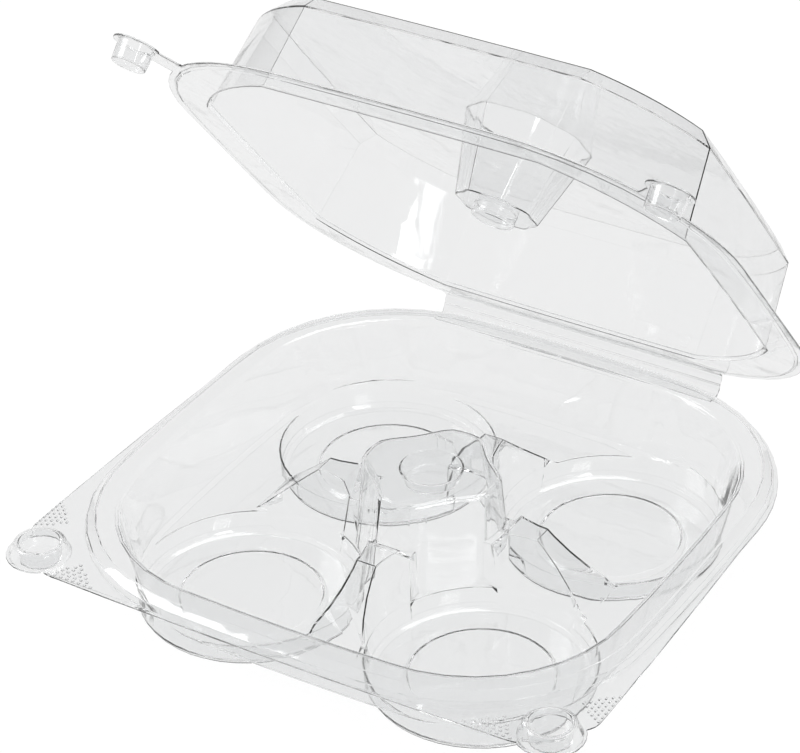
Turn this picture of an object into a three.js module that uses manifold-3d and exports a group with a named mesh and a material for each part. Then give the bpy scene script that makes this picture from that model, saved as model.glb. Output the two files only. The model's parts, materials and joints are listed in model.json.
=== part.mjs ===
// Clear thermoformed box for four cupcakes. One plastic sheet makes the tray, the folding web and the domed lid.
// Millimetres, +Z up. X runs along the hinge, and the hinge is on the +Y side.
import * as THREE from 'three';
import { mergeVertices } from 'three/addons/utils/BufferGeometryUtils.js';
import Module from 'manifold-3d';

const wasm = await Module();
wasm.setup();

// Sheet and fits
const SHEET = 0.5;
const NEST_GAP = 0.35;
const HINGE_FOLD_SHEET = 0.2;
const HINGE_FOLD_GAP = 0.18;

// How far the lid stands open at rest, and where its hinge lies behind the flange edge
const LID_OPENING = THREE.MathUtils.degToRad(50);
const HINGE_SETBACK = 1.5;
const HINGE_HALF_LENGTH = 50;
const HINGE_ROOT = 5;
const HINGE_RIDGE = 0.45;

// Cups
const CUP_CENTRE = 40;
const CUP_RADIUS = 34.2;
const CUP_DRAFT = 0.136;
const FOOT_DEPTH = 7.5;
const FOOT_DRAFT = 0.08;
const FOOT_ROUND = 2;
const FOOT_RING = 9;
const FOOT_PUSH_UP = 1.2;

// Well that holds the cups
const WELL_DEPTH = 19;
const WELL_WALL_DRAFT = 0.215;
const WELL_MARGIN = 2.8;
const WELL_CORNER_CENTRE = 33;
const WELL_EDGE_ROUND = 1.1;
const SIDE_BOW = 0.7;
const SIDE_EXTRA = 2;

// Rim and flange
const RIM_HEIGHT = 4;
const RIM_BAND = 7.4;
const RIM_SHOULDER = 2.6;
const RIM_STEP = 2;
const RIM_EDGE_ROUND = 0.7;
const LIP_FRONT = 1.5;
const LIP_SIDE = 2.2;
const WING_FLARE = 2.4;
const FLANGE_CORNER_RADIUS = 60;
const FRONT_BOW = 1.3;
const WING_CUT_FRONT = 17;
const WING_CUT_SIDE = 18;
const WING_TIP_ROUND = 3;
const FLARE_START = 20;

// Snap buttons at the front corners
const BUTTON_INSET_X = 9.8;
const BUTTON_INSET_Y = 9.6;
const PLUG_RADIUS = 5.2;
const PLUG_DRAFT = 0.4;
const SOCKET_DEPTH = 1.6;
const BUTTON_RING = 1.3;
const BUTTON_FLARE = 2;
const LOBE_MARGIN = 0.9;
const EDGE_BREAK = 0.5;

// Divider island: a star-shaped pedestal and four arms
const PEDESTAL_HEIGHT = 10.4;
const PEDESTAL_REACH = 22;
const PEDESTAL_DRAFT = 0.07;
const PEDESTAL_ROUND = 1;
const STAR_BLEND = 3;
const RECESS_RADIUS = 9.3;
const RECESS_DRAFT = 1.5;
const RECESS_DEPTH = 4.2;
const ARM_WIDTH = 18;
const ARM_RIDGE = -1;
const ARM_RIDGE_START = 28;
const ARM_RIDGE_END = 38;
const ARM_SADDLE = -5;
const ARM_SADDLE_END = 24.5;
const ARM_FOOT = 58;
const ARM_SIDE_DRAFT = 2.5;

// Lid
const LID_LIP_RISE = 0.6;
const LID_MARGIN_X = 0.5;
const DOME_INSET_X = 2.4;
const DOME_INSET_Y = 2.4;
const DOME_WALL = 27;
const DOME_WALL_TAPER = 3.4;
const DOME_CHAMFER_RISE = 4.5;
const DOME_CHAMFER_INSET = 4.2;
const DOME_CORNER_RADIUS = 34;
const DOME_FACET = 0.6;
const DOME_ROOT_ROUND = 0.9;
const STRAP_WIDTH = 9.5;
const STRAP_OVERLAP = 2.615333;
const STRAP_TURN = THREE.MathUtils.degToRad(41.467705);

// Boss that hangs from the lid into the pedestal's recess
const BOSS_TOP_RADIUS = 20;
const BOSS_LEDGE_RADIUS = 13.2;
const BOSS_FLUTES = 8;
const BOSS_FLUTE_DEPTH = 1.1;
const TIP_RADIUS = 6.8;
const TIP_LENGTH = 3.6;

// Fineness of the curves
const ARC_STEPS = 9;
const SIDE_STEPS = 4;
const CUP_STEPS = 44;
const BUTTON_STEPS = 24;
const STAR_STEPS = 56;
const FLUTE_STEPS = 6;
const CURVE_STEPS = 7;

// Sizes that follow from the ones above
const FORM_BOTTOM = -60;
const FORM_HALF = 160;
const OVERSHOOT = 3;
const CUP_TOP_RADIUS = CUP_RADIUS + CUP_DRAFT * (WELL_DEPTH + RIM_HEIGHT);
const WELL_HALF_Y = CUP_CENTRE + CUP_TOP_RADIUS + WELL_MARGIN;
const WELL_HALF_X = WELL_HALF_Y + SIDE_EXTRA / 2;
const RIM_HALF_X = WELL_HALF_X + RIM_BAND;
const RIM_HALF_Y = WELL_HALF_Y + RIM_BAND;
const STEP_HALF_X = RIM_HALF_X + RIM_SHOULDER;
const STEP_HALF_Y = RIM_HALF_Y + RIM_SHOULDER;
const FLANGE_HALF_X = STEP_HALF_X + LIP_SIDE;
const FLANGE_HALF_Y = STEP_HALF_Y + LIP_FRONT;
const WING_HALF_X = FLANGE_HALF_X + WING_FLARE;
const BUTTON_X = WING_HALF_X - BUTTON_INSET_X;
const BUTTON_Y = -(FLANGE_HALF_Y - BUTTON_INSET_Y);
const SOCKET_RADIUS = PLUG_RADIUS + SHEET + NEST_GAP;
const BUTTON_TOP_RADIUS = SOCKET_RADIUS + BUTTON_RING;
const BUTTON_ROOT_RADIUS = BUTTON_TOP_RADIUS + BUTTON_FLARE;
const LOBE_RADIUS = BUTTON_ROOT_RADIUS + LOBE_MARGIN;
const LID_BAND_Z = RIM_HEIGHT + NEST_GAP;
const LID_LIP_Z = LID_BAND_Z + LID_LIP_RISE;
const HINGE_Y = FLANGE_HALF_Y + HINGE_SETBACK;
const HINGE_Z = LID_LIP_Z / 2;
const LID_HALF_X = FLANGE_HALF_X - LID_MARGIN_X;
const DOME_TOP_Z = LID_LIP_Z + DOME_WALL + DOME_CHAMFER_RISE;

// Turns a closed geometry into a solid that can be joined and cut.
function solid(geometry) {
  geometry.deleteAttribute('normal');
  geometry.deleteAttribute('uv');
  const merged = mergeVertices(geometry, 1e-4);
  return new wasm.Manifold(new wasm.Mesh({
    numProp: 3,
    vertProperties: new Float32Array(merged.getAttribute('position').array),
    triVerts: new Uint32Array(merged.getIndex().array),
  }));
}

// Turns a solid into a geometry with flat faces.
function geometryOf(body) {
  const mesh = body.getMesh();
  const geometry = new THREE.BufferGeometry();
  const places = [];
  for (let vertex = 0; vertex < mesh.numVert; vertex += 1) {
    const start = vertex * mesh.numProp;
    places.push(...mesh.vertProperties.slice(start, start + 3));
  }
  geometry.setAttribute('position', new THREE.Float32BufferAttribute(places, 3));
  geometry.setIndex(Array.from(mesh.triVerts));
  geometry.computeVertexNormals();
  return geometry;
}

// Solid through a stack of outlines with equal point counts, listed from the lowest up.
function loft(levels) {
  const count = levels[0].outline.length;
  const places = [];
  const faces = [];
  levels.forEach(({ outline, z }) => outline.forEach((point) => places.push(point.x, point.y, z)));
  for (let level = 0; level < levels.length - 1; level += 1) {
    for (let step = 0; step < count; step += 1) {
      const a = level * count + step;
      const b = level * count + (step + 1) % count;
      faces.push(a, b, b + count, a, b + count, a + count);
    }
  }
  for (const [level, up] of [[0, false], [levels.length - 1, true]]) {
    const middle = places.length / 3;
    const centre = levels[level].outline.reduce((sum, point) => sum.add(point), new THREE.Vector2());
    centre.divideScalar(count);
    places.push(centre.x, centre.y, levels[level].z);
    for (let step = 0; step < count; step += 1) {
      const a = level * count + step;
      const b = level * count + (step + 1) % count;
      faces.push(...(up ? [middle, a, b] : [middle, b, a]));
    }
  }
  const geometry = new THREE.BufferGeometry();
  geometry.setAttribute('position', new THREE.Float32BufferAttribute(places, 3));
  geometry.setIndex(faces);
  return solid(geometry);
}

// Straight solid over a closed outline, from one height to another.
function prism(outline, low, high) {
  const geometry = new THREE.ExtrudeGeometry(new THREE.Shape(outline), { depth: high - low, bevelEnabled: false });
  geometry.translate(0, 0, low);
  return solid(geometry);
}

function box(x, y, low, high) {
  const geometry = new THREE.BoxGeometry(2 * x, 2 * y, high - low);
  geometry.translate(0, 0, (low + high) / 2);
  return solid(geometry);
}

function joined(bodies) {
  return bodies.reduce((sum, body) => sum.add(body));
}

// Rounded rectangle with bowed sides. A facet above 0 draws each corner arc towards its chord.
function roundedOutline(halfX, halfY, radius, facet = 0, bow = SIDE_BOW) {
  const points = [];
  const cornerAt = (corner, share) => {
    const sideX = corner === 0 || corner === 3 ? 1 : -1;
    const sideY = corner < 2 ? 1 : -1;
    const angle = (corner + share) * Math.PI / 2;
    return new THREE.Vector2(
      sideX * (halfX - radius) + radius * Math.cos(angle),
      sideY * (halfY - radius) + radius * Math.sin(angle),
    );
  };
  for (let corner = 0; corner < 4; corner += 1) {
    const first = cornerAt(corner, 0);
    const last = cornerAt(corner, 1);
    for (let step = 0; step <= ARC_STEPS; step += 1) {
      const chord = first.clone().lerp(last, step / ARC_STEPS);
      points.push(cornerAt(corner, step / ARC_STEPS).lerp(chord, facet));
    }
    const next = cornerAt((corner + 1) % 4, 0);
    const outward = new THREE.Vector2(next.y - last.y, last.x - next.x).normalize();
    for (let step = 1; step < SIDE_STEPS; step += 1) {
      const share = step / SIDE_STEPS;
      const swell = 4 * bow * share * (1 - share);
      points.push(last.clone().lerp(next, share).addScaledVector(outward, swell));
    }
  }
  return points;
}

function circleOutline(x, y, radius, steps) {
  return Array.from({ length: steps }, (_, step) => {
    const angle = 2 * Math.PI * step / steps;
    return new THREE.Vector2(x + radius * Math.cos(angle), y + radius * Math.sin(angle));
  });
}

// Solid of revolution about an upright axis. Each level is a radius and a height, from the lowest up.
function turned(x, y, levels, steps) {
  return loft(levels.map(([radius, z]) => ({ outline: circleOutline(x, y, radius, steps), z })));
}

// Outline that keeps its corner centres as it grows, as every line of the rim does.
function rimOutline(halfX, halfY) {
  return roundedOutline(halfX, halfY, halfY - WELL_CORNER_CENTRE);
}

// Right half of an outline, mirrored to the left.
function mirrored(rightHalf) {
  const leftHalf = rightHalf.slice(1, -1).reverse().map((point) => new THREE.Vector2(-point.x, point.y));
  return [...rightHalf, ...leftHalf];
}

// Flange of the tray: round corners at the hinge, square wings at the front.
function trayFlangeOutline() {
  const front = -FLANGE_HALF_Y;
  const wingFront = WING_HALF_X - WING_CUT_FRONT;
  const wingSide = front + WING_CUT_SIDE;
  const cut = new THREE.Vector2(WING_CUT_FRONT, WING_CUT_SIDE).normalize().multiplyScalar(WING_TIP_ROUND);
  const path = new THREE.Path();
  path.moveTo(0, front);
  path.quadraticCurveTo(wingFront / 2, front, wingFront - WING_TIP_ROUND, front + FRONT_BOW);
  path.quadraticCurveTo(wingFront, front + FRONT_BOW, wingFront + cut.x, front + cut.y);
  path.lineTo(WING_HALF_X - cut.x, wingSide - cut.y);
  path.quadraticCurveTo(WING_HALF_X, wingSide, WING_HALF_X, wingSide + WING_TIP_ROUND);
  path.quadraticCurveTo(WING_HALF_X, wingSide / 2, FLANGE_HALF_X, FLARE_START);
  const radius = FLANGE_CORNER_RADIUS;
  path.absarc(FLANGE_HALF_X - radius, FLANGE_HALF_Y - radius, radius, 0, Math.PI / 2, false);
  path.lineTo(0, FLANGE_HALF_Y);
  return mirrored(path.getPoints(CURVE_STEPS));
}

// Flange of the lid, with no wings.
function lidFlangeOutline() {
  const radius = FLANGE_CORNER_RADIUS;
  const path = new THREE.Path();
  path.moveTo(0, -FLANGE_HALF_Y);
  path.quadraticCurveTo(
    (LID_HALF_X - radius) / 2, -FLANGE_HALF_Y,
    LID_HALF_X - radius, FRONT_BOW / 4 - FLANGE_HALF_Y,
  );
  path.absarc(LID_HALF_X - radius, radius + FRONT_BOW / 4 - FLANGE_HALF_Y, radius, -Math.PI / 2, 0, false);
  path.absarc(LID_HALF_X - radius, FLANGE_HALF_Y - radius, radius, 0, Math.PI / 2, false);
  path.lineTo(0, FLANGE_HALF_Y);
  return mirrored(path.getPoints(CURVE_STEPS));
}

// Four places or two places that mirror each other.
const CUP_PLACES = [[1, 1], [-1, 1], [-1, -1], [1, -1]].map(([x, y]) => [x * CUP_CENTRE, y * CUP_CENTRE]);
const BUTTON_PLACES = [[BUTTON_X, BUTTON_Y], [-BUTTON_X, BUTTON_Y]];

// Outline of the pedestal: its sides curve in beside the cups, and its four points are rounded off.
function starOutline(cupRadius, reach) {
  const distance = CUP_CENTRE * Math.SQRT2;
  return Array.from({ length: STAR_STEPS }, (_, step) => {
    const angle = 2 * Math.PI * step / STAR_STEPS;
    const fromCup = (angle % (Math.PI / 2)) - Math.PI / 4;
    const inside = cupRadius ** 2 - (distance * Math.sin(fromCup)) ** 2;
    const toCup = inside > 0 ? distance * Math.cos(fromCup) - Math.sqrt(inside) : 2 * reach;
    const overlap = Math.max(STAR_BLEND - Math.abs(toCup - reach), 0) / STAR_BLEND;
    const radius = Math.min(toCup, reach) - overlap * overlap * STAR_BLEND / 4;
    return new THREE.Vector2(radius * Math.cos(angle), radius * Math.sin(angle));
  });
}

function cupRadiusAt(z) {
  return CUP_RADIUS + CUP_DRAFT * (z + WELL_DEPTH);
}

// The forms below are the bodies under one face of the sheet: skin 0 gives its upper face, and skin SHEET its
// under face.

function raisedRim(skin) {
  const levels = [
    [STEP_HALF_X + EDGE_BREAK, STEP_HALF_Y + EDGE_BREAK, -OVERSHOOT],
    [STEP_HALF_X + EDGE_BREAK, STEP_HALF_Y + EDGE_BREAK, 0],
    [STEP_HALF_X, STEP_HALF_Y, RIM_STEP],
    [RIM_HALF_X + RIM_EDGE_ROUND, RIM_HALF_Y + RIM_EDGE_ROUND, RIM_HEIGHT - RIM_EDGE_ROUND],
    [RIM_HALF_X, RIM_HALF_Y, RIM_HEIGHT],
  ];
  return loft(levels.map(([x, y, z]) => ({ outline: rimOutline(x - skin, y - skin), z: z - skin })));
}

function well(skin) {
  const halves = (z) => {
    const shrink = WELL_WALL_DRAFT * (RIM_HEIGHT - z);
    return [WELL_HALF_X - shrink, WELL_HALF_Y - shrink];
  };
  const round = WELL_EDGE_ROUND;
  const floor = halves(-WELL_DEPTH);
  const levels = [
    [floor[0] - round, floor[1] - round, -WELL_DEPTH],
    [...halves(round - WELL_DEPTH), round - WELL_DEPTH],
    [...halves(RIM_HEIGHT - round), RIM_HEIGHT - round],
    [WELL_HALF_X + round / 3, WELL_HALF_Y + round / 3, RIM_HEIGHT - round / 3],
    [WELL_HALF_X + round, WELL_HALF_Y + round, RIM_HEIGHT],
    [WELL_HALF_X + round, WELL_HALF_Y + round, RIM_HEIGHT + OVERSHOOT],
  ];
  return loft(levels.map(([x, y, z]) => ({ outline: rimOutline(x + skin, y + skin), z: z - skin })));
}

function foot([x, y], skin) {
  const bottom = -WELL_DEPTH - FOOT_DEPTH;
  const wall = (z) => CUP_RADIUS + FOOT_DRAFT * (z + WELL_DEPTH) + skin;
  const cavity = turned(x, y, [
    [wall(bottom) - FOOT_ROUND, bottom - skin],
    [wall(bottom) - FOOT_ROUND * 0.3, bottom + FOOT_ROUND * 0.3 - skin],
    [wall(bottom + FOOT_ROUND), bottom + FOOT_ROUND - skin],
    [wall(-WELL_DEPTH), OVERSHOOT - WELL_DEPTH - skin],
  ], CUP_STEPS);
  const ring = CUP_RADIUS - FOOT_ROUND - FOOT_RING;
  const pushUp = turned(x, y, [
    [ring - skin, bottom - OVERSHOOT],
    [ring - skin, bottom - skin],
    [ring - FOOT_PUSH_UP - skin, bottom + FOOT_PUSH_UP - skin],
  ], CUP_STEPS);
  return cavity.subtract(pushUp);
}

function pedestal(skin) {
  const level = (z, inset) => ({
    outline: starOutline(
      cupRadiusAt(z) + inset + skin,
      PEDESTAL_REACH + PEDESTAL_DRAFT * (PEDESTAL_HEIGHT - z) - inset - skin,
    ),
    z: z - skin,
  });
  const round = PEDESTAL_ROUND;
  return loft([
    level(-WELL_DEPTH - OVERSHOOT, 0),
    level(PEDESTAL_HEIGHT - round, 0),
    level(PEDESTAL_HEIGHT - round / 3, round / 3),
    level(PEDESTAL_HEIGHT, round),
  ]);
}

// One arm, from the pedestal to the bay at the side of the well. A saddle separates its ridge from the pedestal.
function arm(angle, skin) {
  const bay = -WELL_DEPTH;
  const base = FORM_BOTTOM / 2;
  const crest = [
    [0, ARM_SADDLE],
    [ARM_SADDLE_END + skin, ARM_SADDLE],
    [ARM_RIDGE_START + skin, ARM_RIDGE],
    [ARM_RIDGE_END, ARM_RIDGE],
    [ARM_FOOT, bay],
  ];
  const section = [[0, base], [ARM_FOOT, base], ...crest.reverse().map(([x, z]) => [x, z - skin])];
  const half = ARM_WIDTH / 2 - skin;
  const tilt = ARM_SIDE_DRAFT / (ARM_RIDGE - bay);
  const places = [];
  const faces = THREE.ShapeUtils.triangulateShape(section.map(([x, z]) => new THREE.Vector2(x, z)), []);
  const count = section.length;
  for (const side of [1, -1]) {
    section.forEach(([x, z]) => places.push(x, side * (half - tilt * (Math.max(z, bay) - bay)), z));
  }
  const shell = faces.flatMap(([a, b, c]) => [a, c, b, a + count, b + count, c + count]);
  for (let step = 0; step < count; step += 1) {
    const next = (step + 1) % count;
    shell.push(step, next, next + count, step, next + count, step + count);
  }
  const geometry = new THREE.BufferGeometry();
  geometry.setAttribute('position', new THREE.Float32BufferAttribute(places, 3));
  geometry.setIndex(shell);
  geometry.rotateZ(angle);
  return solid(geometry);
}

function island(skin) {
  const arms = joined([0, 1, 2, 3].map((quarter) => arm(quarter * Math.PI / 2, skin)));
  const cups = joined(CUP_PLACES.map(([x, y]) => turned(x, y, [
    [cupRadiusAt(FORM_BOTTOM) + skin, FORM_BOTTOM - skin],
    [cupRadiusAt(PEDESTAL_HEIGHT) + skin, PEDESTAL_HEIGHT - skin],
  ], CUP_STEPS)));
  return arms.subtract(cups).add(pedestal(skin));
}

function recess(skin) {
  const floor = PEDESTAL_HEIGHT - RECESS_DEPTH;
  return turned(0, 0, [
    [RECESS_RADIUS - RECESS_DRAFT + skin, floor - skin],
    [RECESS_RADIUS + skin, PEDESTAL_HEIGHT - skin],
    [RECESS_RADIUS + skin, PEDESTAL_HEIGHT + OVERSHOOT],
  ], 2 * BUTTON_STEPS);
}

function button([x, y], skin) {
  return turned(x, y, [
    [BUTTON_ROOT_RADIUS - skin, -OVERSHOOT],
    [BUTTON_ROOT_RADIUS - skin, -skin],
    [BUTTON_TOP_RADIUS + EDGE_BREAK - skin, RIM_HEIGHT - EDGE_BREAK - skin],
    [BUTTON_TOP_RADIUS - skin, RIM_HEIGHT - skin],
  ], BUTTON_STEPS);
}

function socket([x, y], skin) {
  return turned(x, y, [
    [SOCKET_RADIUS - PLUG_DRAFT + skin, -SOCKET_DEPTH - skin],
    [SOCKET_RADIUS + skin, RIM_HEIGHT - skin],
    [SOCKET_RADIUS + skin, RIM_HEIGHT + OVERSHOOT],
  ], BUTTON_STEPS);
}

function trayForm(skin) {
  const footprint = skin > 0
    ? box(FORM_HALF, FORM_HALF, FORM_BOTTOM, -skin)
    : joined([
      prism(trayFlangeOutline(), FORM_BOTTOM, 0),
      ...BUTTON_PLACES.map(([x, y]) => prism(circleOutline(x, y, LOBE_RADIUS, BUTTON_STEPS), FORM_BOTTOM, 0)),
    ]);
  return footprint
    .add(joined([raisedRim(skin), ...BUTTON_PLACES.map((place) => button(place, skin))]))
    .subtract(joined([well(skin), ...CUP_PLACES.map((place) => foot(place, skin))]))
    .add(island(skin))
    .subtract(joined([recess(skin), ...BUTTON_PLACES.map((place) => socket(place, skin))]));
}

// Half of the folding web. It runs from a flange edge to the fold line, thins towards it, and carries a ridge
// along X. side is 1 for the half that rises from the tray and -1 for the one that comes down from the closed lid.
function hingeWeb(side) {
  const flange = side > 0 ? -SHEET / 2 : LID_LIP_Z + SHEET / 2;
  const root = new THREE.Vector2(FLANGE_HALF_Y, flange);
  const fold = new THREE.Vector2(HINGE_Y, HINGE_Z);
  const along = fold.clone().sub(root);
  const length = along.length() - HINGE_FOLD_GAP;
  along.normalize();
  const across = new THREE.Vector2(-along.y, along.x);
  const end = root.clone().addScaledVector(along, length);
  const at = (point, offset) => point.clone().addScaledVector(across, offset);
  const start = new THREE.Vector2(FLANGE_HALF_Y - HINGE_ROOT, flange);
  const ridge = new THREE.Vector2().addVectors(root, end).multiplyScalar(0.5);
  const half = SHEET / 2;
  const outer = [
    start.clone().add(new THREE.Vector2(0, -side * half)),
    root.clone().add(new THREE.Vector2(0, -side * half)),
    at(ridge, -side * (half + HINGE_RIDGE)),
    at(end, -side * HINGE_FOLD_SHEET / 2),
  ];
  const inner = [
    at(end, side * HINGE_FOLD_SHEET / 2),
    at(ridge, side * half / 2),
    root.clone().add(new THREE.Vector2(0, side * half)),
    start.clone().add(new THREE.Vector2(0, side * half)),
  ];
  const section = [...outer, ...inner];
  const geometry = new THREE.ExtrudeGeometry(new THREE.Shape(section), {
    depth: 2 * HINGE_HALF_LENGTH,
    bevelEnabled: false,
  });
  // The section is drawn in Y and Z, so X of the drawing turns to Y and its depth to X.
  geometry.applyMatrix4(new THREE.Matrix4().makeBasis(
    new THREE.Vector3(0, 1, 0), new THREE.Vector3(0, 0, 1), new THREE.Vector3(1, 0, 0),
  ));
  geometry.translate(-HINGE_HALF_LENGTH, 0, 0);
  return solid(geometry);
}

function lidBandRecess(skin) {
  return loft([
    [RIM_HALF_X + RIM_EDGE_ROUND, RIM_HALF_Y + RIM_EDGE_ROUND, LID_BAND_Z],
    [RIM_HALF_X + RIM_EDGE_ROUND + EDGE_BREAK, RIM_HALF_Y + RIM_EDGE_ROUND + EDGE_BREAK, LID_LIP_Z],
    [RIM_HALF_X + RIM_EDGE_ROUND + EDGE_BREAK, RIM_HALF_Y + RIM_EDGE_ROUND + EDGE_BREAK, LID_LIP_Z + OVERSHOOT],
  ].map(([x, y, z]) => ({ outline: rimOutline(x + skin, y + skin), z: z + SHEET - skin })));
}

function dome(skin) {
  const baseX = WELL_HALF_X - DOME_INSET_X;
  const baseY = WELL_HALF_Y - DOME_INSET_Y;
  const wallTop = LID_LIP_Z + DOME_WALL;
  const root = DOME_ROOT_ROUND;
  const levels = [
    [root, LID_BAND_Z - OVERSHOOT],
    [root, LID_BAND_Z],
    [0, LID_BAND_Z + root],
    [-DOME_WALL_TAPER, wallTop],
    [-DOME_WALL_TAPER - DOME_CHAMFER_INSET, DOME_TOP_Z],
  ];
  return loft(levels.map(([grow, z]) => ({
    outline: roundedOutline(
      baseX + grow - skin, baseY + grow - skin, DOME_CORNER_RADIUS + grow - skin, DOME_FACET,
    ),
    z: z + SHEET - skin,
  })));
}

// Hollow, fluted boss with a ledge and a round tip. Its sizes are those of the underside.
function boss(skin) {
  const inset = SHEET - skin;
  const ledge = PEDESTAL_HEIGHT + NEST_GAP;
  const steps = BOSS_FLUTES * FLUTE_STEPS;
  const fluted = (radius) => Array.from({ length: steps }, (_, step) => {
    const angle = 2 * Math.PI * step / steps;
    const flute = BOSS_FLUTE_DEPTH * (1 + Math.cos(BOSS_FLUTES * angle)) / 2;
    const reach = radius - inset - flute;
    return new THREE.Vector2(reach * Math.cos(angle), reach * Math.sin(angle));
  });
  const cone = loft([
    { outline: fluted(BOSS_LEDGE_RADIUS), z: ledge + inset },
    { outline: fluted(BOSS_TOP_RADIUS), z: DOME_TOP_Z + inset },
    { outline: fluted(BOSS_TOP_RADIUS), z: DOME_TOP_Z + OVERSHOOT },
  ]);
  const tip = turned(0, 0, [
    [TIP_RADIUS - EDGE_BREAK - inset, ledge - TIP_LENGTH + inset],
    [TIP_RADIUS - inset, ledge - TIP_LENGTH + EDGE_BREAK + inset],
    [TIP_RADIUS - inset, ledge + OVERSHOOT],
  ], 2 * BUTTON_STEPS);
  return cone.add(tip);
}

function plug([x, y], skin) {
  const inset = SHEET - skin;
  return turned(x, y, [
    [PLUG_RADIUS + SHEET - PLUG_DRAFT - inset, NEST_GAP - SOCKET_DEPTH + inset],
    [PLUG_RADIUS + SHEET - inset, LID_LIP_Z + inset],
    [PLUG_RADIUS + SHEET - inset, LID_LIP_Z + OVERSHOOT],
  ], BUTTON_STEPS);
}

// Strap that carries a plug, from inside the round corner of the lid's flange to the plate above the tray's button.
function strap(side, low, high) {
  const cornerCentre = new THREE.Vector2(LID_HALF_X - FLANGE_CORNER_RADIUS, FLANGE_CORNER_RADIUS - FLANGE_HALF_Y);
  const reach = FLANGE_CORNER_RADIUS - STRAP_OVERLAP;
  const root = new THREE.Vector2(reach, 0).rotateAround(new THREE.Vector2(), -STRAP_TURN).add(cornerCentre);
  const plate = new THREE.Vector2(BUTTON_X, BUTTON_Y);
  const along = plate.clone().sub(root).normalize();
  const across = new THREE.Vector2(-along.y, along.x).multiplyScalar(STRAP_WIDTH / 2);
  const outline = [
    root.clone().sub(across), plate.clone().sub(across), plate.clone().add(across), root.clone().add(across),
  ].map((point) => new THREE.Vector2(side * point.x, point.y));
  const band = prism(side > 0 ? outline : outline.reverse(), low, high);
  return band.add(prism(circleOutline(side * BUTTON_X, BUTTON_Y, BUTTON_TOP_RADIUS, BUTTON_STEPS), low, high));
}

function lidForm(skin) {
  const lipTop = LID_LIP_Z + SHEET - skin;
  const footprint = skin > 0
    ? box(FORM_HALF, FORM_HALF, FORM_BOTTOM, lipTop)
    : joined([
      prism(lidFlangeOutline(), FORM_BOTTOM, lipTop),
      strap(1, FORM_BOTTOM, lipTop),
      strap(-1, FORM_BOTTOM, lipTop),
    ]);
  return footprint
    .subtract(lidBandRecess(skin))
    .add(dome(skin))
    .subtract(joined([boss(skin), ...BUTTON_PLACES.map((place) => plug(place, skin))]));
}

const clearPlastic = new THREE.MeshStandardMaterial({
  color: 0xe6ecee,
  roughness: 0.06,
  metalness: 0,
  transparent: true,
  opacity: 0.35,
  side: THREE.DoubleSide,
});

function piece(name, body) {
  const mesh = new THREE.Mesh(geometryOf(body), clearPlastic);
  mesh.name = name;
  return mesh;
}

const traySheet = trayForm(0).subtract(trayForm(SHEET)).add(hingeWeb(1));
const lidSheet = lidForm(0).subtract(lidForm(SHEET)).add(hingeWeb(-1));

const tray = piece('tray', traySheet);
const lid = piece('lid', lidSheet);
lid.position.set(0, -HINGE_Y, -HINGE_Z);

const lidHinge = new THREE.Group();
lidHinge.position.set(0, HINGE_Y, HINGE_Z);
lidHinge.rotation.x = -LID_OPENING;
lidHinge.add(lid);

const cupcakeBox = new THREE.Group();
cupcakeBox.add(tray, lidHinge);

// The origin lies under the middle of the open box, on the surface that its feet stand on.
cupcakeBox.updateMatrixWorld(true);
const extent = new THREE.Box3().setFromObject(cupcakeBox, true);
cupcakeBox.position.set(0, -(extent.min.y + extent.max.y) / 2, -extent.min.z);
cupcakeBox.updateMatrixWorld(true);

export default cupcakeBox;
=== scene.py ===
"""Looks of a clear cupcake box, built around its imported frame."""
import json
import logging
import math
from dataclasses import dataclass
from enum import Enum

import bpy
import numpy as np
from mathutils import Matrix, Vector
from mathutils.bvhtree import BVHTree

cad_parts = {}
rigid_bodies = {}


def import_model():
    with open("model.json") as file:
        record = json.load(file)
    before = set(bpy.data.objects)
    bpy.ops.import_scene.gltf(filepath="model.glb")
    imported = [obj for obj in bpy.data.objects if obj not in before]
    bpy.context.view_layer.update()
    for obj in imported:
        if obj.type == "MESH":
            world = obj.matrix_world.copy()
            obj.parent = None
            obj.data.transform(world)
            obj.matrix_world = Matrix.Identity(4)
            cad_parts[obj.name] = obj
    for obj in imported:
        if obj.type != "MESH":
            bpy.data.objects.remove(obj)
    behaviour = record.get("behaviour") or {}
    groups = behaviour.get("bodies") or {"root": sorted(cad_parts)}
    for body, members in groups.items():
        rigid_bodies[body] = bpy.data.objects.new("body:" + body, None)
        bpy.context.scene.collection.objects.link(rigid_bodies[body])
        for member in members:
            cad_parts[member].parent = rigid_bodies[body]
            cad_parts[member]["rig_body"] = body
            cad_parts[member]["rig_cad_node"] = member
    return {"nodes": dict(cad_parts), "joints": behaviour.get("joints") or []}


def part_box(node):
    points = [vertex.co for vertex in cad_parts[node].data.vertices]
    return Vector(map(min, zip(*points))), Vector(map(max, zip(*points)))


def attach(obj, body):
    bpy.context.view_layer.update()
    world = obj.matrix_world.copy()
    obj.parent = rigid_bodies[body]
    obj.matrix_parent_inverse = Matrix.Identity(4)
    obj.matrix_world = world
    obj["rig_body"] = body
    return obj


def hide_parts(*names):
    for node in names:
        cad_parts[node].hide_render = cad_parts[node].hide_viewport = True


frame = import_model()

logging.basicConfig(level=logging.INFO, format="%(message)s")
LOG = logging.getLogger("cupcake_box")

MM = 0.001
TINY = 1e-12
WHITE = (1.0, 1.0, 1.0, 1.0)
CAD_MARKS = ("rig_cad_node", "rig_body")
PICTURE_WIDTH = 800
SENSOR_WIDTH = 36.0

# Sizes that the frame doesn't state. The first is over the flange, the second from the flange's centre
PEDESTAL_HEIGHT = 10.4 * MM
HINGE_FROM_CENTRE = 93.13 * MM
FOLD_HALF_LENGTH = 50 * MM

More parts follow.
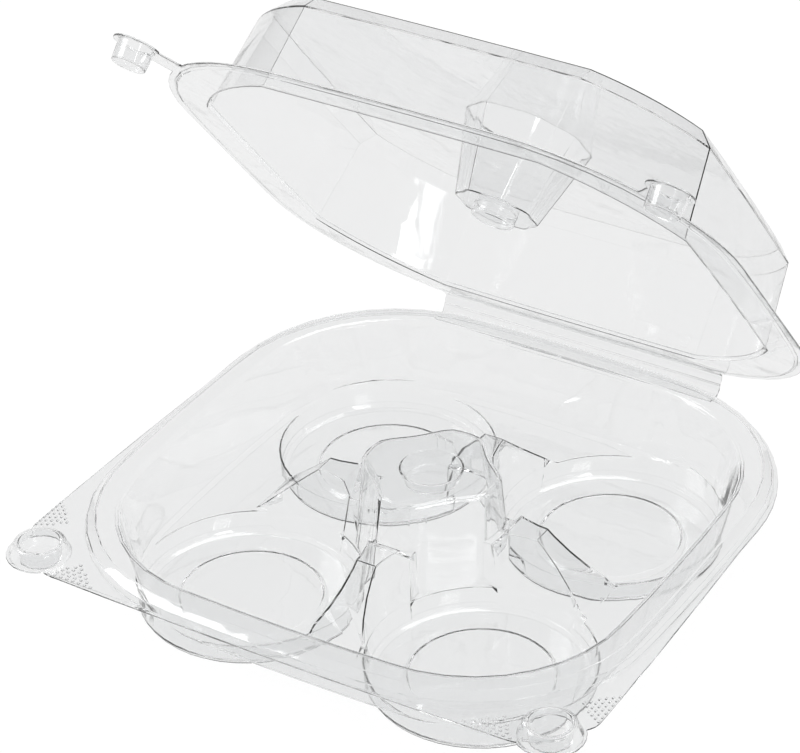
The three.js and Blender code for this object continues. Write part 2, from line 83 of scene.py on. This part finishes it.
# Places that follow from the frame
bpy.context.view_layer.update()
LID_HINGE = frame["joints"][0]
HINGE = Vector(LID_HINGE["pos_m"])
LID_OPENING = math.radians(-LID_HINGE["range_deg"][0])
TRAY_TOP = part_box("tray")[1].z
FLANGE_CENTRE = Vector((0.0, HINGE.y - HINGE_FROM_CENTRE, TRAY_TOP - PEDESTAL_HEIGHT))


class Body(Enum):
    """The two bodies that move against each other."""

    BASE = "base"
    LID = "lid"


class Side(Enum):
    """The box's right and left halves, which mirror each other across X."""

    RIGHT = 1
    LEFT = -1


def only_select(*objects: bpy.types.Object) -> None:
    """Select just these objects and make the first one active.

    Args:
        objects: The objects, at least one.
    """
    bpy.ops.object.select_all(action="DESELECT")
    for obj in objects:
        obj.select_set(True)
    bpy.context.view_layer.objects.active = objects[0]


def apply_modifier(obj: bpy.types.Object, kind: str, **settings: object) -> None:
    """Add one modifier to an object and apply it.

    Args:
        obj: The object, which becomes the active one.
        kind: The modifier's type.
        settings: The modifier's properties.
    """
    only_select(obj)
    bpy.ops.object.modifier_add(type=kind)
    modifier = obj.modifiers[-1]
    for name, value in settings.items():
        setattr(modifier, name, value)
    bpy.ops.object.modifier_apply(modifier=modifier.name)


def ride_on(obj: bpy.types.Object, body: Body, finish: bpy.types.Material) -> bpy.types.Object:
    """Give a new piece its finish and let it ride on a body.

    Args:
        obj: The finished piece.
        body: The body that carries it.
        finish: Its only material.

    Returns:
        The same piece.
    """
    obj.data.materials.clear()
    obj.data.materials.append(finish)
    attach(obj, body.value)
    return obj


class Signal:
    """A shader socket that can be used in Python arithmetic."""

    def __init__(self, graph: "Graph", socket: bpy.types.NodeSocket | None) -> None:
        """Wrap one output socket of a graph, or none where a node ends the tree."""
        self.graph = graph
        self.socket = socket

    def _math(self, operation: str, other: "Signal | float") -> "Signal":
        """Add one Math node on this value and another, and return its result."""
        return self.graph.node("ShaderNodeMath", {"operation": operation}, {0: self, 1: other})

    def __add__(self, other: "Signal | float") -> "Signal":
        """Sum of two values."""
        return self._math("ADD", other)

    __radd__ = __add__

    def __mul__(self, other: "Signal | float") -> "Signal":
        """Product of two values."""
        return self._math("MULTIPLY", other)

    __rmul__ = __mul__

    def at_least(self, other: "Signal | float") -> "Signal":
        """The larger of two values."""
        return self._math("MAXIMUM", other)


class Graph:
    """A material's or world's node tree, filled node by node."""

    def __init__(self, tree: bpy.types.NodeTree) -> None:
        """Start with an empty tree."""
        self.tree = tree
        tree.nodes.clear()

    def node(
        self,
        kind: str,
        settings: dict[str, object] | None = None,
        inputs: dict[int | str, object] | None = None,
        output: int | str = 0,
    ) -> Signal:
        """Add a node.

        Args:
            kind: The node's type.
            settings: Properties of the node, which are set first.
            inputs: Values or signals of its sockets.
            output: The output that is returned.

        Returns:
            The chosen output as a signal. It has no socket where the node ends the tree.
        """
        node = self.tree.nodes.new(kind)
        for name, value in (settings or {}).items():
            setattr(node, name, value)
        for name, value in (inputs or {}).items():
            if isinstance(value, Signal):
                self.tree.links.new(value.socket, node.inputs[name])
            else:
                node.inputs[name].default_value = value
        return Signal(self, node.outputs[output] if node.outputs else None)


@dataclass(frozen=True)
class Waves:
    """Smooth unevenness of the sheet.

    Attributes:
        per_metre: Scale of the waves.
        detail: How many rounds of finer waves lie on the main ones.
        depth: Height of the waves in metres, where they shape the surface.
    """

    per_metre: float
    detail: float
    depth: float = 0.0

    def signal(self, graph: Graph, place: Signal) -> Signal:
        """Add the waves to a material.

        Args:
            graph: The material's nodes.
            place: The point that each wave is read at.

        Returns:
            A value from 0 to 1.
        """
        return graph.node(
            "ShaderNodeTexNoise",
            {"noise_dimensions": "3D"},
            {"Vector": place, "Scale": self.per_metre, "Detail": self.detail},
        )


@dataclass(frozen=True)
class ClearPlastic:
    """Clear thermoformed sheet: a glass-like shell whose shadow is light.

    Attributes:
        name: The material's name.
        turn: Turn of the drawn lines' pattern about X, in radians. It comes after the stretch, so the lines
            still run along Z, and it only makes one piece's pattern differ from the other's.
        tint: Colour of what passes through the sheet.
        shade: Share of the lamps' light that each face lets through.
        ior: Index of refraction.
        smoothest: Roughness where the sheet is clearest.
        roughest: Roughness where it is haziest.
        haze: Pattern of clear and hazy places.
        ripple: Shallow waves in every direction.
        drawn: Long lines along Z, as the mould leaves them where it stretches the sheet.
        draw_stretch: Waves along those lines, as a share of the waves across.
    """

    name: str
    turn: float = 0.0
    tint: tuple[float, float, float] = (0.943, 0.946, 0.948)
    shade: tuple[float, float, float] = (0.97, 0.973, 0.973)
    ior: float = 1.5
    smoothest: float = 0.008
    roughest: float = 0.06
    haze: Waves = Waves(per_metre=28.0, detail=3.0)
    ripple: Waves = Waves(per_metre=45.0, detail=1.5, depth=0.06 * MM)
    drawn: Waves = Waves(per_metre=75.0, detail=2.0, depth=0.16 * MM)
    draw_stretch: float = 0.07

    def _relief(self, graph: Graph, place: Signal) -> Signal:
        """Turn the ripples and the drawn lines into a bumped normal.

        Args:
            graph: The material's nodes.
            place: Coordinates on the piece.

        Returns:
            The normal.
        """
        ripple = self.ripple.signal(graph, place)
        along_draw = graph.node(
            "ShaderNodeMapping",
            None,
            {"Vector": place, "Rotation": (self.turn, 0.0, 0.0), "Scale": (1.0, 1.0, self.draw_stretch)},
        )
        drawn = self.drawn.signal(graph, along_draw)
        height = ripple * self.ripple.depth + drawn * self.drawn.depth
        return graph.node("ShaderNodeBump", None, {"Height": height, "Strength": 1.0, "Distance": 1.0})

    def material(self) -> bpy.types.Material:
        """Build the material.

        Returns:
            A material that is clear to the camera and lets most light through to the floor.
        """
        made = bpy.data.materials.new(self.name)
        made.use_nodes = True
        graph = Graph(made.node_tree)
        place = graph.node("ShaderNodeTexCoord", output="Object")
        roughness = self.haze.signal(graph, place) * (self.roughest - self.smoothest) + self.smoothest
        clear = graph.node(
            "ShaderNodeBsdfPrincipled",
            None,
            {
                "Base Color": (*self.tint, 1.0),
                "Roughness": roughness,
                "IOR": self.ior,
                "Transmission Weight": 1.0,
                "Normal": self._relief(graph, place),
            },
        )
        through = graph.node("ShaderNodeBsdfTransparent", None, {"Color": (*self.shade, 1.0)})
        shadow = graph.node("ShaderNodeLightPath", output="Is Shadow Ray")
        diffuse = graph.node("ShaderNodeLightPath", output="Is Diffuse Ray")
        share = shadow.at_least(diffuse)
        surface = graph.node("ShaderNodeMixShader", None, {"Fac": share, 1: clear, 2: through})
        graph.node("ShaderNodeOutputMaterial", None, {"Surface": surface})
        return made


@dataclass(frozen=True)
class FormedSheet:
    """One half of the box: the formed sheet of a CAD node with its fine finish.

    Attributes:
        node: The CAD node.
        body: The body that it moves with.
        finish: The clear plastic.
        weld: Points closer than this are one.
        smooth_angle: The surface is smooth where it turns by less than this.
        edge_angle: It has an edge where it turns by more than this.
        edge_round: Width of the rounding on an edge.
        edge_segments: Faces across the rounding.
        normal_weight: How far the large faces rule the shading.
        fold_limit: A face has folded over where its normal's share along the sheet's own is below this.
        fold_reach: Edges closer than this to a fold stay sharp.
        trials: Most rounds of trial roundings.
    """

    node: str
    body: Body
    finish: bpy.types.Material
    weld: float = 0.002 * MM
    smooth_angle: float = math.radians(38)
    edge_angle: float = math.radians(20)
    edge_round: float = 0.16 * MM
    edge_segments: int = 2
    normal_weight: int = 80
    fold_limit: float = -0.2
    fold_reach: float = 0.25 * MM
    trials: int = 6

    def _sharp_edges(self, mesh: bpy.types.Mesh) -> list[int]:
        """Find the edges at which the surface turns.

        Args:
            mesh: The sheet's mesh.

        Returns:
            The indices of those edges.
        """
        normals: dict[tuple[int, int], list[Vector]] = {}
        for face in mesh.polygons:
            for key in face.edge_keys:
                normals.setdefault(key, []).append(face.normal)
        sharp = []
        for edge in mesh.edges:
            first, second = normals[edge.key][:2]
            if first.angle(second, 0.0) > self.edge_angle:
                sharp.append(edge.index)
        return sharp

    def _bevel(self, sheet: bpy.types.Object, edges: list[int]) -> None:
        """Round some edges of a sheet.

        Args:
            sheet: The sheet.
            edges: Indices of the edges.
        """
        weights = np.zeros(len(sheet.data.edges), dtype=np.float32)
        weights[edges] = 1.0
        stored = sheet.data.attributes.new("bevel_weight_edge", "FLOAT", "EDGE")
        stored.data.foreach_set("value", weights)
        apply_modifier(
            sheet,
            "BEVEL",
            width=self.edge_round,
            segments=self.edge_segments,
            limit_method="WEIGHT",
            use_clamp_overlap=False,
        )

    def _folds(self, trial: bpy.types.Object, surface: BVHTree) -> list[Vector]:
        """Find the faces that a trial rounding turned over.

        Args:
            trial: The rounded copy of the sheet.
            surface: The sheet's surface before the rounding.

        Returns:
            The middles of those faces.
        """
        return [
            face.center.copy()
            for face in trial.data.polygons
            if surface.find_nearest(face.center)[1].dot(face.normal) < self.fold_limit
        ]

    def _clear_of(self, mesh: bpy.types.Mesh, edges: list[int], folds: list[Vector]) -> list[int]:
        """Keep the edges that lie away from every fold.

        Args:
            mesh: The sheet's mesh.
            edges: Indices of its sharp edges.
            folds: Points on turned faces.

        Returns:
            The indices that stay.
        """
        corners = [mesh.edges[index].vertices for index in edges]
        ends = np.array([[mesh.vertices[corner].co for corner in pair] for pair in corners])
        start, along = ends[:, 0], ends[:, 1] - ends[:, 0]
        span = np.maximum((along**2).sum(axis=1), TINY)
        near = np.zeros(len(edges), dtype=bool)
        for fold in folds:
            point = np.array(fold)
            share = np.clip(((point - start) * along).sum(axis=1) / span, 0.0, 1.0)
            spot = start + share[:, None] * along
            near |= np.linalg.norm(spot - point, axis=1) < self.fold_reach
        return [index for index, close in zip(edges, near) if not close]

    def _round_edges(self, sheet: bpy.types.Object) -> None:
        """Round the sheet's edges, apart from those whose roundings would fold over each other.

        Args:
            sheet: The welded sheet.
        """
        mesh = sheet.data
        points = [vertex.co for vertex in mesh.vertices]
        surface = BVHTree.FromPolygons(points, [face.vertices for face in mesh.polygons])
        edges = self._sharp_edges(mesh)
        for _ in range(self.trials):
            only_select(sheet)
            bpy.ops.object.duplicate()
            trial = bpy.context.active_object
            self._bevel(trial, edges)
            folds = self._folds(trial, surface)
            only_select(trial)
            bpy.ops.object.delete()
            LOG.info("%s: %d edges to round, %d folds", sheet.name, len(edges), len(folds))
            if not folds:
                break
            edges = self._clear_of(mesh, edges, folds)
        self._bevel(sheet, edges)

    def build(self) -> bpy.types.Object:
        """Copy the node's sheet without its marks, weld it, round its edges and smooth its curves.

        Returns:
            The finished sheet, riding on its body.
        """
        only_select(frame["nodes"][self.node])
        bpy.ops.object.duplicate()
        sheet = bpy.context.active_object
        sheet.name = f"{self.node}_sheet"
        bpy.ops.object.parent_clear(type="CLEAR_KEEP_TRANSFORM")
        for mark in CAD_MARKS:
            del sheet[mark]
        bpy.ops.object.mode_set(mode="EDIT")
        bpy.ops.mesh.select_all(action="SELECT")
        bpy.ops.mesh.remove_doubles(threshold=self.weld)
        bpy.ops.object.mode_set(mode="OBJECT")
        self._round_edges(sheet)
        only_select(sheet)
        bpy.ops.object.shade_smooth_by_angle(angle=self.smooth_angle)
        apply_modifier(sheet, "WEIGHTED_NORMAL", keep_sharp=True, weight=self.normal_weight)
        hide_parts(self.node)
        return ride_on(sheet, self.body, self.finish)


@dataclass(frozen=True)
class Grip:
    """Pad of small raised bricks on a wing of the tray. Its lengths are in millimetres.

    Attributes:
        name: The pad's name, without its side.
        apex: Corner of the pad's triangle where the first row starts, as seen from the flange's centre.
        inner: Corner that the rows step towards.
        end: Corner where the first row ends.
        brick: Length, width and height of a brick.
        top_share: Size of a brick's top as a share of its foot.
        pitch: Distance between bricks in a row.
        row_pitch: Distance between rows.
        sunk: Depth of a brick's foot in the sheet.
        upward: Least Z of a normal that points up.
    """

    name: str
    apex: tuple[float, float]
    inner: tuple[float, float]
    end: tuple[float, float]
    brick: tuple[float, float, float] = (1.5, 0.95, 0.5)
    top_share: float = 0.6
    pitch: float = 2.1
    row_pitch: float = 1.5
    sunk: float = 0.08
    upward: float = 0.5

    def _row(self, start: Vector, along: Vector, count: int) -> bpy.types.Object:
        """Model one brick and repeat it into a row.

        Args:
            start: Middle of the first brick.
            along: Unit vector of the row.
            count: Number of bricks.

        Returns:
            The row as one object.
        """
        length, width, height = (size * MM for size in self.brick)
        sizes = (length, width, height) if abs(along.x) > abs(along.y) else (width, length, height)
        bpy.ops.object.select_all(action="DESELECT")
        bpy.ops.mesh.primitive_cube_add(size=1.0, location=start, scale=sizes)
        brick = bpy.context.active_object
        bpy.ops.object.transform_apply(location=True, rotation=True, scale=True)
        is_top = [face.normal.z > self.upward for face in brick.data.polygons]
        brick.data.polygons.foreach_set("select", is_top)
        bpy.ops.object.mode_set(mode="EDIT")
        bpy.ops.mesh.select_mode(type="FACE")
        bpy.ops.transform.resize(value=(self.top_share, self.top_share, 1.0), center_override=start)
        bpy.ops.object.mode_set(mode="OBJECT")
        apply_modifier(
            brick,
            "ARRAY",
            count=count,
            use_relative_offset=False,
            use_constant_offset=True,
            constant_offset_displace=along * self.pitch * MM,
        )
        return brick

    def build(self, side: Side, finish: bpy.types.Material) -> bpy.types.Object:
        """Fill the pad's triangle with rows, each centred in the triangle's width there.

        Args:
            side: The wing that carries the pad.
            finish: The clear plastic.

        Returns:
            The finished pad, riding on the tray.
        """
        corners = (self.apex, self.inner, self.end)
        apex, inner, end = (Vector((x * side.value, y, 0.0)) for x, y in corners)
        along = (end - apex).normalized()
        depth = inner - apex - along * (inner - apex).dot(along)
        rows = int(depth.length / self.row_pitch) + 1
        lift = Vector((0.0, 0.0, self.brick[2] / 2 - self.sunk))
        made = []
        for row in range(rows):
            share = row * self.row_pitch / depth.length
            first = apex.lerp(inner, share)
            room = (end.lerp(inner, share) - first).length
            count = int(room / self.pitch) + 1
            inset = (room - (count - 1) * self.pitch) / 2
            start = (first + along * inset + lift) * MM + FLANGE_CENTRE
            made.append(self._row(start, along, count))
        only_select(*made)
        bpy.ops.object.join()
        pad = bpy.context.active_object
        pad.name = f"{self.name}_{side.name.lower()}"
        bpy.ops.object.transform_apply(location=True, rotation=True, scale=True)
        return ride_on(pad, Body.BASE, finish)


@dataclass(frozen=True)
class FoldBead:
    """Bead of the sheet along the fold, where the two halves of the web meet.

    Attributes:
        radius: Radius of the bead.
        sides: Number of its sides.
        end_share: Width of the rounding at its ends as a share of the radius.
        end_segments: Faces across that rounding.
        smooth_angle: It is smooth where it turns by less than this.
    """

    radius: float = 0.3 * MM
    sides: int = 12
    end_share: float = 0.5
    end_segments: int = 2
    smooth_angle: float = math.radians(40)

    def build(self, finish: bpy.types.Material) -> bpy.types.Object:
        """Model the bead with rounded ends.

        Args:
            finish: The clear plastic.

        Returns:
            The finished bead, riding on the tray.
        """
        bpy.ops.object.select_all(action="DESELECT")
        bpy.ops.mesh.primitive_cylinder_add(
            vertices=self.sides,
            radius=self.radius,
            depth=2 * FOLD_HALF_LENGTH,
            location=HINGE,
            rotation=(0.0, math.pi / 2, 0.0),
        )
        bead = bpy.context.active_object
        bead.name = "fold_bead"
        bpy.ops.object.transform_apply(location=True, rotation=True, scale=True)
        apply_modifier(
            bead,
            "BEVEL",
            width=self.radius * self.end_share,
            segments=self.end_segments,
            limit_method="ANGLE",
        )
        only_select(bead)
        bpy.ops.object.shade_smooth_by_angle(angle=self.smooth_angle)
        return ride_on(bead, Body.BASE, finish)


@dataclass(frozen=True)
class Tray:
    """The tray: its formed sheet, the bead along the fold and the grips on its wings."""

    finish: bpy.types.Material
    grips: tuple[Grip, ...] = (
        Grip("grip_front", apex=(62.5, -89.4), inner=(71.5, -81.6), end=(77.6, -89.4)),
        Grip("grip_side", apex=(95.2, -57.5), inner=(87.0, -66.0), end=(95.2, -72.2)),
    )

    def build(self) -> list[bpy.types.Object]:
        """Build the sheet and what is formed on it.

        Returns:
            The pieces.
        """
        sheet = FormedSheet("tray", Body.BASE, self.finish).build()
        bead = FoldBead().build(self.finish)
        pads = [grip.build(side, self.finish) for grip in self.grips for side in Side]
        return [sheet, bead, *pads]


@dataclass(frozen=True)
class Lid:
    """The domed lid with its boss and straps, formed in one sheet."""

    finish: bpy.types.Material

    def build(self) -> list[bpy.types.Object]:
        """Build the sheet, the lid's only piece, and return it in a list."""
        return [FormedSheet("lid", Body.LID, self.finish).build()]


@dataclass(frozen=True)
class SoftLamp:
    """Square soft lamp that faces the box.

    Attributes:
        name: The lamp's name.
        place: Its place in metres.
        size: Length of its sides in metres.
        power: Its power in watts.
    """

    name: str
    place: tuple[float, float, float]
    size: float
    power: float

    def build(self) -> None:
        """Add the lamp and turn it to the box."""
        bpy.ops.object.select_all(action="DESELECT")
        bpy.ops.object.light_add(type="AREA", location=self.place)
        lamp = bpy.context.active_object
        lamp.name = self.name
        lamp.data.size = self.size
        lamp.data.energy = self.power
        lamp.rotation_euler = (FLANGE_CENTRE - Vector(self.place)).to_track_quat("-Z", "Y").to_euler()


@dataclass(frozen=True)
class Studio:
    """Pale floor, white surroundings, soft lamps and grey walls that only reflections show.

    Attributes:
        floor_size: Length of the floor's sides.
        floor_drop: Depth of the floor under the box's feet.
        floor_grey: The floor's own colour.
        floor_glow: Share of it that glows at the surroundings' level. The rest is lit and keeps the shadow.
        air_light: Strength of the air as a light.
        white: Level of the surroundings to the camera.
        pale: Level of the surroundings in reflections and through the plastic.
        room_size: Length of the room's sides.
        room_lift: Height of the room's middle as a share of its size.
        wall_dark: Level of the walls at the floor's height.
        wall_rise: How much brighter they grow with each metre of height.
        lamps: The lamps.
    """

    floor_size: float = 8.0
    floor_drop: float = 0.05 * MM
    floor_grey: float = 0.9
    floor_glow: float = 0.72
    air_light: float = 0.62
    white: float = 1.02
    pale: float = 0.84
    room_size: float = 5.0
    room_lift: float = 0.4
    wall_dark: float = 0.22
    wall_rise: float = 0.2
    lamps: tuple[SoftLamp, ...] = (
        SoftLamp("soft_left", place=(-1.3, -0.5, 1.3), size=0.9, power=10.0),
        SoftLamp("soft_top", place=(0.2, 0.6, 1.9), size=1.1, power=12.0),
        SoftLamp("soft_right", place=(1.5, -0.9, 1.0), size=0.6, power=6.0),
    )

    def _level(self, graph: Graph) -> Signal:
        """Choose the surroundings' level by the kind of ray that meets them.

        Args:
            graph: The nodes of the air or the floor.

        Returns:
            White for the camera, pale grey for reflections and refractions, and 0 for light.
        """
        camera = graph.node("ShaderNodeLightPath", output="Is Camera Ray")
        glossy = graph.node("ShaderNodeLightPath", output="Is Glossy Ray")
        refracted = graph.node("ShaderNodeLightPath", output="Is Transmission Ray")
        return (camera * self.white).at_least(glossy.at_least(refracted) * self.pale)

    def _air(self) -> None:
        """Make air that is white to the camera, pale grey through the plastic and softer as a light."""
        world = bpy.data.worlds.new("studio_air")
        bpy.context.scene.world = world
        world.use_nodes = True
        graph = Graph(world.node_tree)
        strength = self._level(graph).at_least(self.air_light)
        air = graph.node("ShaderNodeBackground", None, {"Color": WHITE, "Strength": strength})
        graph.node("ShaderNodeOutputWorld", None, {"Surface": air})

    def _floor(self) -> None:
        """Lay a white floor that keeps the box's faint shadow."""
        bpy.ops.object.select_all(action="DESELECT")
        bpy.ops.mesh.primitive_plane_add(size=self.floor_size, location=(0.0, 0.0, -self.floor_drop))
        floor = bpy.context.active_object
        floor.name = "floor"
        made = bpy.data.materials.new("floor_white")
        made.use_nodes = True
        graph = Graph(made.node_tree)
        grey = (self.floor_grey, self.floor_grey, self.floor_grey, 1.0)
        matt = graph.node("ShaderNodeBsdfDiffuse", None, {"Color": grey})
        level = self._level(graph)
        glow = graph.node("ShaderNodeEmission", None, {"Color": WHITE, "Strength": level})
        share = level * self.floor_glow
        mixed = graph.node("ShaderNodeMixShader", None, {"Fac": share, 1: matt, 2: glow})
        graph.node("ShaderNodeOutputMaterial", None, {"Surface": mixed})
        floor.data.materials.append(made)

    def _walls(self) -> None:
        """Stand a grey room round the box. Only reflections show it, so that clear edges read on white."""
        lift = self.room_lift * self.room_size
        bpy.ops.object.select_all(action="DESELECT")
        bpy.ops.mesh.primitive_cube_add(size=self.room_size, location=(0.0, 0.0, lift))
        room = bpy.context.active_object
        room.name = "studio_walls"
        made = bpy.data.materials.new("wall_grey")
        made.use_nodes = True
        graph = Graph(made.node_tree)
        place = graph.node("ShaderNodeTexCoord", output="Object")
        height = graph.node("ShaderNodeSeparateXYZ", None, {"Vector": place}, output="Z")
        grey = (height + lift) * self.wall_rise + self.wall_dark
        glow = graph.node("ShaderNodeEmission", None, {"Color": WHITE, "Strength": grey})
        graph.node("ShaderNodeOutputMaterial", None, {"Surface": glow})
        room.data.materials.append(made)
        room.visible_camera = False
        room.visible_diffuse = False
        room.visible_transmission = False
        room.visible_shadow = False

    def build(self) -> None:
        """Build the surroundings and the lamps."""
        self._air()
        self._floor()
        self._walls()
        for lamp in self.lamps:
            lamp.build()


@dataclass(frozen=True)
class PhotoCamera:
    """Camera at the photograph's viewing angle.

    Attributes:
        azimuth: Its turn about the vertical, from the front towards the right.
        elevation: Its height over the horizon, as an angle.
        roll: Its turn about its own axis.
        distance: Its distance from the point that it aims at, in metres.
        focal_pixels: Its focal length in pixels of the photograph.
        aim: That point, in metres from the flange's centre.
        nearest: What is nearer than this isn't seen.
        farthest: What is farther than this isn't seen.
    """

    azimuth: float = math.radians(31.63)
    elevation: float = math.radians(33.06)
    roll: float = math.radians(-1.26)
    distance: float = 1.117
    focal_pixels: float = 3530.6
    aim: tuple[float, float, float] = (-0.0413, 0.0502, 0.001)
    nearest: float = 0.05
    farthest: float = 50.0

    def build(self) -> None:
        """Place the camera and make it the scene's."""
        across, tilt = self.azimuth, self.elevation
        back = Vector((math.sin(across) * math.cos(tilt), -math.cos(across) * math.cos(tilt), math.sin(tilt)))
        right = Vector((math.cos(across), math.sin(across), 0.0))
        up = back.cross(right)
        right, up = (
            math.cos(self.roll) * right + math.sin(self.roll) * up,
            math.cos(self.roll) * up - math.sin(self.roll) * right,
        )
        place = FLANGE_CENTRE + Vector(self.aim) + back * self.distance
        bpy.ops.object.select_all(action="DESELECT")
        bpy.ops.object.camera_add(location=place)
        camera = bpy.context.active_object
        camera.rotation_euler = Matrix((right, up, back)).transposed().to_euler()
        camera.data.sensor_width = SENSOR_WIDTH
        camera.data.lens = self.focal_pixels * SENSOR_WIDTH / PICTURE_WIDTH
        camera.data.clip_start = self.nearest
        camera.data.clip_end = self.farthest
        bpy.context.scene.camera = camera


@dataclass(frozen=True)
class LightPaths:
    """How often a ray may turn on its way through the walls of the box.

    Attributes:
        turns: Most turns of any kind.
        refractions: Most faces that a ray passes as it bends.
        reflections: Most mirror turns.
        scatterings: Most turns at a matt surface.
        straight_passes: Most faces that a ray passes straight, as one to a lamp does.
    """

    turns: int = 20
    refractions: int = 18
    reflections: int = 10
    scatterings: int = 2
    straight_passes: int = 40

    def build(self) -> None:
        """Give the counts to the scene, and leave out caustics, which would only add noise."""
        cycles = bpy.context.scene.cycles
        cycles.max_bounces = self.turns
        cycles.transmission_bounces = self.refractions
        cycles.glossy_bounces = self.reflections
        cycles.diffuse_bounces = self.scatterings
        cycles.transparent_max_bounces = self.straight_passes
        cycles.caustics_reflective = False
        cycles.caustics_refractive = False


def main() -> None:
    """Build the camera, the studio and the two halves of the box, and report each piece."""
    bpy.context.scene.view_settings.view_transform = "Standard"
    for setting in (PhotoCamera(), Studio(), LightPaths()):
        setting.build()
        LOG.info("%s built", type(setting).__name__)
    tray = Tray(ClearPlastic("clear_tray").material())
    lid = Lid(ClearPlastic("clear_lid", turn=LID_OPENING).material())
    for half in (tray, lid):
        for piece in half.build():
            LOG.info("%s: %d faces", piece.name, len(piece.data.polygons))


if __name__ == "__main__":
    main()
